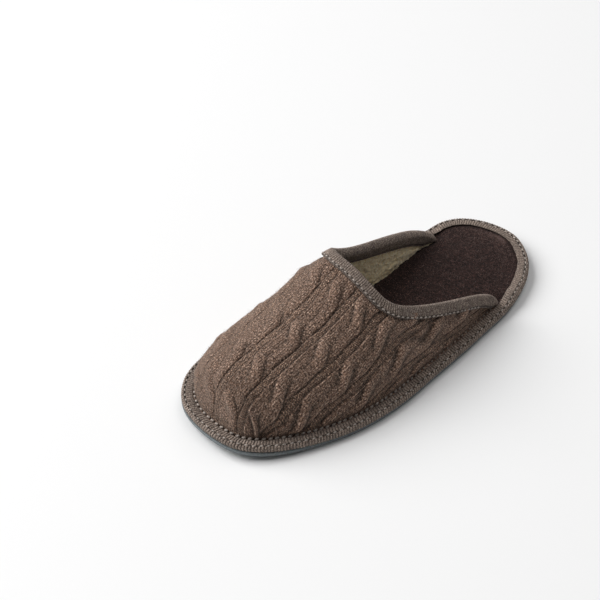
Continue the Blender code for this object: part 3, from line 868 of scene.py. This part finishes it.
fleece, tree, shader = new_finish("cream_fleece", 1.0, 1.0, (1.0, 0.95, 0.85))
pile = noise(tree, 620, 3)
creams = ramp(tree, pile, [(0.3, (0.76, 0.56, 0.32)), (0.5, (0.96, 0.79, 0.49)), (0.7, (1.0, 0.90, 0.64))])
cover(tree, shader, creams, bump(tree, noise(tree, 1500, 3), 0.4 * MM, bump(tree, pile, 0.8 * MM)))
lining = make_piece("fleece_lining", fleece_points(), fleece, merge=2e-6)


# ---- Collar tape: the same ribbed knit as round the sole, folded over the upper's edge with the
# knit and the fleece between its legs, and stitched through along its lower edge.
COLLAR_TAPE_WIDTH = 6.8 * MM
COLLAR_TAPE_END = 0.992  # across, where the tape runs into the sole
COLLAR_LEG_SHARE = 0.7  # near there it covers this share of the upper's height
SEAM_GAP = 0.3 * MM
COLLAR_RIB = 1.4 * MM
COLLAR_SAMPLES = 5  # points over each rib
COLLAR_RIB_LIFT = 0.42 * MM
COLLAR_CLOSING = 6  # points over which each end closes
LEG_STEPS = 12
COLLAR_LEG = [
    # from the stitched edge up to the fold: step down the leg, how much of the ribs shows, dip
    (12, 0.1, 0.5),
    (11, 0.5, 0.3),
    (10, 0.3, 1.2),
    (9, 0.9, 0.1),
    (7, 1, 0),
    (5, 1, 0),
    (3, 1, 0),
    (1, 1, 0),
]


def step_down(along, across, distance):
    """Moves a line on the last square to itself, over the surface and away from the opening: the surface's
    normal crossed with the line's direction, shared out between along and across by least squares."""
    small = 1e-4
    here = last_point(along, across, 0)
    by_along = (last_point(along + small, across, 0) - here) / small
    by_across = (last_point(along, across + small, 0) - here) / small
    normal = np.cross(by_along, by_across)
    ahead = np.gradient(here, axis=0)
    down = unit(np.cross(normal, ahead))
    aa, cc = np.sum(by_along**2, axis=1), np.sum(by_across**2, axis=1)
    ac = np.sum(by_along * by_across, axis=1)
    wa, wc = np.sum(by_along * down, axis=1), np.sum(by_across * down, axis=1)
    scale = distance / (aa * cc - ac * ac)
    return along + scale * (cc * wa - ac * wc), across + scale * (aa * wc - ac * wa)


def even_collar(spacing):
    """Places along the collar at even steps of length, from the outer end over the ridge to the inner end."""
    dense = np.linspace(COLLAR_TAPE_END, -COLLAR_TAPE_END, 3001)
    run = length_along(last_point(collar_along(dense), dense, 0))
    count = int(round(run[-1] / spacing))
    return np.interp(np.linspace(0, run[-1], count + 1), run, dense)


def collar_leg(line):
    """How far the tape reaches down: its width, less where the collar runs out into the sole."""
    foot = last_point(line[0], np.where(line[1] >= 0, 1, -1), 0)
    return np.minimum(COLLAR_TAPE_WIDTH, COLLAR_LEG_SHARE * (last_point(*line, 0) - foot)[:, 2])


def collar_tape_points():
    """The folded section carried along the collar: up the outer leg, round the fold, down the inner leg, and
    back inside it. The ribs cross the tape, and a row of stitches draws its lower edge in. Both ends
    close to a line, as the square root of the distance."""
    across = even_collar(COLLAR_RIB / COLLAR_SAMPLES)
    line = collar_along(across), across
    leg = collar_leg(line)
    levels = [line]
    for _ in range(LEG_STEPS):
        levels.append(step_down(*levels[-1], leg / LEG_STEPS))
    legs = [(levels[i], rib, dip) for i, rib, dip in COLLAR_LEG]
    middle = UPPER_WALL / 2
    inner_half = middle + SEAM_GAP
    half = inner_half + TAPE_THICKNESS
    fold = np.radians([0, 30, 60, 90, 120, 150, 180])

    def folded(half, rise):
        """One face of the section: the depth, the line on the last, the ribs and the dip of every row."""
        rows = [(middle - half, *leg) for leg in legs]
        rows += [(middle - half * np.cos(a), step_down(*line, -rise * np.sin(a)), 1, 0) for a in fold]
        rows += [(middle + half, *leg) for leg in legs[::-1]]
        return rows, np.stack([last_point(*line, depth) for depth, line, rib, dip in rows])

    outer, outside = folded(half, 0.62 * half)
    inside = folded(inner_half, SEAM_GAP)[1]
    normal = unit(np.cross(np.gradient(outside, axis=0), np.gradient(outside, axis=1)))
    normal *= np.sign(normal[len(legs) + 3, :, 2].sum())
    rib, dip = (np.array([row[k] for row in outer], float)[:, None] for k in (2, 3))
    run = np.arange(len(across))[None, :] + 0.9 * np.sin(np.arange(len(outer)) * 0.5)[:, None]
    ribbing = knit_rib(run, COLLAR_SAMPLES)
    lift = COLLAR_RIB_LIFT * rib * (ribbing - 0.6) - 0.5 * MM * dip
    lift = lift + 0.06 * MM * value_noise(outside, 1.0 * MM, 8)
    # Painted shade and highlight: the shade mark darkens the gaps between the ribs and the stitched edge, and
    # lightens the rib tops.
    shade = 0.5 + rib * (0.85 * ribbing - 0.60) - 0.50 * dip + 0.06 * value_noise(outside, 0.9 * MM, 9)
    outside = outside + normal * lift[..., None]
    closing = np.sqrt(np.clip(np.minimum(run[:1], run[:1, ::-1]) / COLLAR_CLOSING, 0, 1))[..., None]
    centre = (outside + inside) / 2
    outside, inside = centre + (outside - centre) * closing, centre + (inside - centre) * closing
    # The tape's inside face gets an even painted shade.
    shade = np.concatenate([np.clip(shade, 0, 1), np.full(shade.shape, 0.3)])
    return np.concatenate([outside, inside[::-1]]), shade, across


collar_points, collar_painted_shading, collar_across = collar_tape_points()
collar_tape = make_piece(
    "collar_tape", collar_points, taupe, marks={"shade": collar_painted_shading}, wrap=(True, False), flip=True, merge=1e-6
)
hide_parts("collar_binding")


# ---- Stitches: light wool thread. A row of short stitches holds the upper to the sole tape, a
# second row lies in the tape's groove, and a third runs under the collar tape.
SEAM_STEP = 3.9 * MM
SEAM_STITCH = np.array([1.45, 0.75, 0.65]) * MM  # half length, half width, half height
GROOVE_STITCH = np.array([1.25, 0.48, 0.45]) * MM
COLLAR_STEP = 3.6 * MM
COLLAR_ROW = 0.86  # how far down the tape's leg the row lies
COLLAR_STITCH = np.array([1.15, 0.50, 0.50]) * MM


def rounded_cube():
    """A cube, each face halved both ways and every corner pushed to the unit ball: 26 points, 24 faces."""
    lattice = np.array([p for p in np.ndindex(3, 3, 3) if p != (1, 1, 1)]) - 1
    order = {tuple(p): i for i, p in enumerate(lattice.tolist())}
    faces = []
    for axis, side in ((axis, side) for axis in range(3) for side in (-1, 1)):
        for a, b in ((-1, -1), (-1, 0), (0, -1), (0, 0)):
            corners = [(a, b), (a + 1, b), (a + 1, b + 1), (a, b + 1)][::side]
            # The corner's own axes follow the face's axis in turn.
            faces.append([order[tuple(np.roll((side, u, v), axis).tolist())] for u, v in corners])
    return unit(lattice), np.array(faces)


def thread_row(name, path, up, spacing, size, slant, finish):
    """Beads of thread set at even steps along a path, each stretched along it, flattened and a little
    slanted. The bead's three axes are the path's direction, the cloth's outward one and their product."""
    run = length_along(path)
    places = np.arange(spacing / 2, run[-1], spacing)
    places = places + np.random.default_rng(len(name)).uniform(-0.06, 0.06, len(places)) * spacing

    def at(values, places):
        return np.stack([np.interp(places, run, values[:, k]) for k in range(3)], axis=1)

    size = at(np.broadcast_to(size, path.shape), places)
    ahead = unit(at(path, places + 0.5 * MM) - at(path, places - 0.5 * MM))
    outward = at(up, places)
    outward = unit(outward - ahead * np.sum(ahead * outward, axis=1, keepdims=True))
    sideways = np.cross(outward, ahead)
    turned = ahead * np.cos(slant) + sideways * np.sin(slant)
    sideways = np.cross(outward, turned)
    ball, faces = rounded_cube()
    shape = ball[None, :, :] * size[:, None, :]
    points = at(path, places)[:, None, :]
    for k, axis in enumerate((turned, sideways, outward)):
        points = points + shape[..., k : k + 1] * axis[:, None, :]
    quads = faces[None] + (np.arange(len(places)) * len(ball))[:, None, None]
    return mesh_piece(name, points, quads, finish)


thread_tones = (0.24, 0.205, 0.18), (0.43, 0.38, 0.345), (0.62, 0.56, 0.52)
thread = tape_finish("light_thread", *thread_tones, painted_rib_shade=False)


def foot_line(rise, out):
    """A line round the upper at a height over its foot, from the outer collar end over the toe to the
    inner one."""
    halves = []
    for end, outer in zip(COLLAR_END, (True, False)):
        turn = np.linspace(turn_of(end) + 0.02, np.pi, 400)
        here = edge(turn if outer else 2 * np.pi - turn, CREASE_INSET - out)
        halves.append(lifted(here, FLANGE_TOP + rise))
    return np.concatenate([halves[0], halves[1][-2::-1]])


seam = foot_line(1.3 * MM, 0.35 * MM)
run_on = np.gradient(seam, axis=0)
seam_up = unit(np.stack([run_on[:, 1], -run_on[:, 0], 0 * run_on[:, 0]], axis=1))
seam_up *= np.sign(np.sum(seam_up * seam, axis=1).mean())
seam_up[:, 2] = 0.9
seam_size = SEAM_STITCH * (1 - 0.45 * smooth_step((seam[:, 1:2] + 30 * MM) / (30 * MM)))
groove = lifted(edge(sole_turn, sole_width * 0.30), sole_top - 0.20 * MM)[::4]
upright = np.broadcast_to(np.array([0.0, 0.0, 1.0]), groove.shape)
line = collar_along(collar_across), collar_across
leg = collar_leg(line)
low = step_down(*line, leg * COLLAR_ROW)
# Every fourth point of the line will do, and the ends of the tape have no stitches.
on_tape = last_point(*low, -SEAM_GAP - TAPE_THICKNESS * 0.9)[::4][22:-22]
tape_up = (last_point(*low, -2 * MM) - last_point(*low, 0))[::4][22:-22]
thread_rows = [
    # name, path, outward direction, step, half sizes, slant
    ("seam_stitches", seam, seam_up, SEAM_STEP, seam_size, 0.25),
    ("groove_stitches", groove, upright, THREAD_STEP, GROOVE_STITCH, 0.1),
    ("collar_stitches", on_tape, tape_up, COLLAR_STEP, COLLAR_STITCH, 0.15),
]
for thread_path in thread_rows:
    thread_row(*thread_path, thread)


# ---- Hairs: loose wool fibres that stand off the knit and lie over the felt, a few millimetres
# long and very thin, so that the cloth's outline is soft and the felt is flecked.
KNIT_HAIRS, FELT_HAIRS = 5200, 4600
KNIT_HAIR, FELT_HAIR = (3.0 * MM, 0.035 * MM), (2.8 * MM, 0.045 * MM)  # length, half thickness


def fibres(name, roots, outward, length, thickness, stand, finish, seed):
    """Thin square tubes of three rings, closed at both ends. The middle line leaves its root at a slant, as
    stand says, bends over by a square, and turns aside by another."""
    draw = np.random.default_rng(seed)
    aside = draw.normal(size=roots.shape)
    aside = unit(aside - outward * np.sum(aside * outward, axis=1, keepdims=True))
    turn = draw.uniform(-1, 1, (len(roots), 1))
    across = np.cross(outward, aside)
    length = length * draw.uniform(0.5, 1.2, (len(roots), 1))
    stand = stand * draw.uniform(0.3, 1.3, (len(roots), 1))
    rings = []
    for share, size in ((0.0, 1.0), (0.5, 0.8), (1.0, 0.35)):
        rise = stand * share * (1.6 - share) * outward
        centre = roots + length * (share * aside + rise + 0.5 * turn * share**2 * across)
        for one, two in ((1, 0), (0, 1), (-1, 0), (0, -1)):
            rings.append(centre + thickness * size * (one * across + two * outward))
    points = np.stack(rings, axis=1)
    ring = np.arange(4)
    ahead = np.roll(ring, -1)
    sides = [np.stack([k + ring, k + ahead, k + 4 + ahead, k + 4 + ring], axis=1) for k in (0, 4)]
    faces = np.concatenate([*sides, [(3, 2, 1, 0), (8, 9, 10, 11)]])
    quads = faces[None] + (np.arange(len(roots)) * 12)[:, None, None]
    return mesh_piece(name, points, quads, finish)


wool_hair = new_finish("wool_hair", 0.9, 0.3, colour=(0.30, 0.22, 0.17))[0]
draw = np.random.default_rng(31)
picked = draw.integers(8, KNIT_ACROSS - 4, KNIT_HAIRS), draw.integers(16, KNIT_ALONG - 4, KNIT_HAIRS)
standing = outwards[picked]
roots = base[picked] + standing * height[picked][:, None]
knit_hairs = fibres("knit_hairs", roots, standing, *KNIT_HAIR, 0.45, wool_hair, 32)

felt_hair = new_finish("felt_hair", 0.9, 0.2, colour=(0.160, 0.098, 0.084))[0]
turn = draw.uniform(0.05, 2.2, FELT_HAIRS)
share = draw.uniform(0, 1, FELT_HAIRS)[:, None]
outer_rim, inner_rim = edge(turn, 9 * MM), edge(2 * np.pi - turn, 9 * MM)
from_rim = np.minimum(share, 1 - share)[:, 0] * np.linalg.norm(outer_rim - inner_rim, axis=1)
roots = inner_rim + (outer_rim - inner_rim) * share
roots = lifted(roots, FELT_TOP + pillow(from_rim - 4 * MM, roots[:, 1]))
upright = np.broadcast_to(np.array([0.0, 0.0, 1.0]), roots.shape)
felt_hairs = fibres("felt_hairs", roots, upright, *FELT_HAIR, 0.14, felt_hair, 33)


# ---- The floor and the light: a plain white floor, and soft daylight from the upper left and
# from behind, so that the slipper's outer side is in shade.
floor_mesh = bpy.data.meshes.new("floor")
floor_mesh.from_pydata([(-6, -6, 0), (6, -6, 0), (6, 6, 0), (-6, 6, 0)], [], [(0, 1, 2, 3)])
white = new_finish("white_floor", 0.6, colour=(0.905, 0.905, 0.905))[0]
floor_mesh.materials.append(white)
floor = add_object("floor", floor_mesh)

world = bpy.data.worlds.new("studio")
bpy.context.scene.world = world
world.use_nodes = True
background = world.node_tree.nodes["Background"]
background.inputs["Color"].default_value = (1.0, 1.0, 1.0, 1)
background.inputs["Strength"].default_value = 0.13


def add_window(name, place, target, size, power):
    """A square soft light that faces a point."""
    light = bpy.data.lights.new(name, "AREA")
    light.shape = "SQUARE"
    light.size = size
    light.energy = power
    add_object(name, light, place, target)


add_window("window", (-2.2, -1.5, 2.4), (0, 0, 0), 3.0, 165)
add_window("ceiling", (0.1, 1.1, 2.9), (0, 0, 0), 2.6, 28)
bpy.context.scene.view_settings.view_transform = "Standard"
